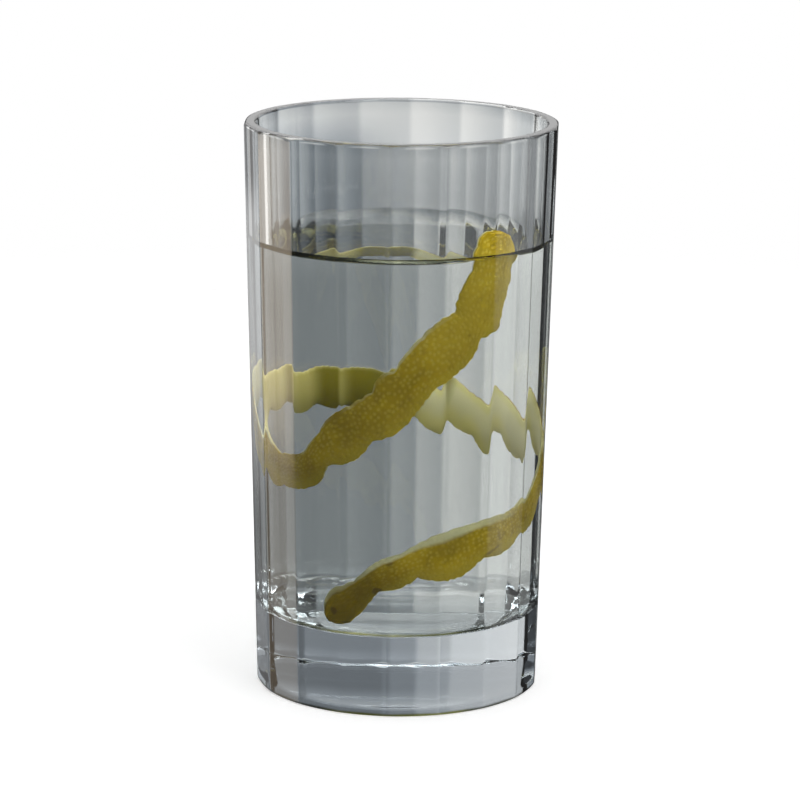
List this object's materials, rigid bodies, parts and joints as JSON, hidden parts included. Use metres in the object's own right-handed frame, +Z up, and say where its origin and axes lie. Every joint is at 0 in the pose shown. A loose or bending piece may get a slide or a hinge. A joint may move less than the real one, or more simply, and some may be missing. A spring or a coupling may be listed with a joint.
{
  "type": "highball glass",
  "caption": "Tall smoke-tinted highball glass with flat pressed panels and a thick base, served with water and a long curl of lemon peel that lifts out.",
  "frame": {"origin": "centre of the foot, on the table it stands on", "axes": "+Z up along the axis of the glass, -Y towards the side that the picture shows, +X to its right"},
  "size_m": [0.0796, 0.0798, 0.146],
  "materials": {
    "tumbler_glass": "clear pressed soda-lime glass with a light smoke-grey tint and a flat polished lip",
    "water": "clear still water",
    "lemon_zest": "waxy yellow rind with round oil glands",
    "lemon_pith": "soft matt white pith, damp"
  },
  "bodies": {
    "glass": {"tumbler": "tumbler_glass", "water": "water"},
    "peel": {"lemon_zest": "lemon_zest", "lemon_pith": "lemon_pith"}
  },
  "joints": [
    {"name": "peel_lift", "type": "slide", "parent": "glass", "child": "peel", "axis": [0, 0, 1], "range_m": [0, 0.13], "deforming": ["water"]}
  ]
}
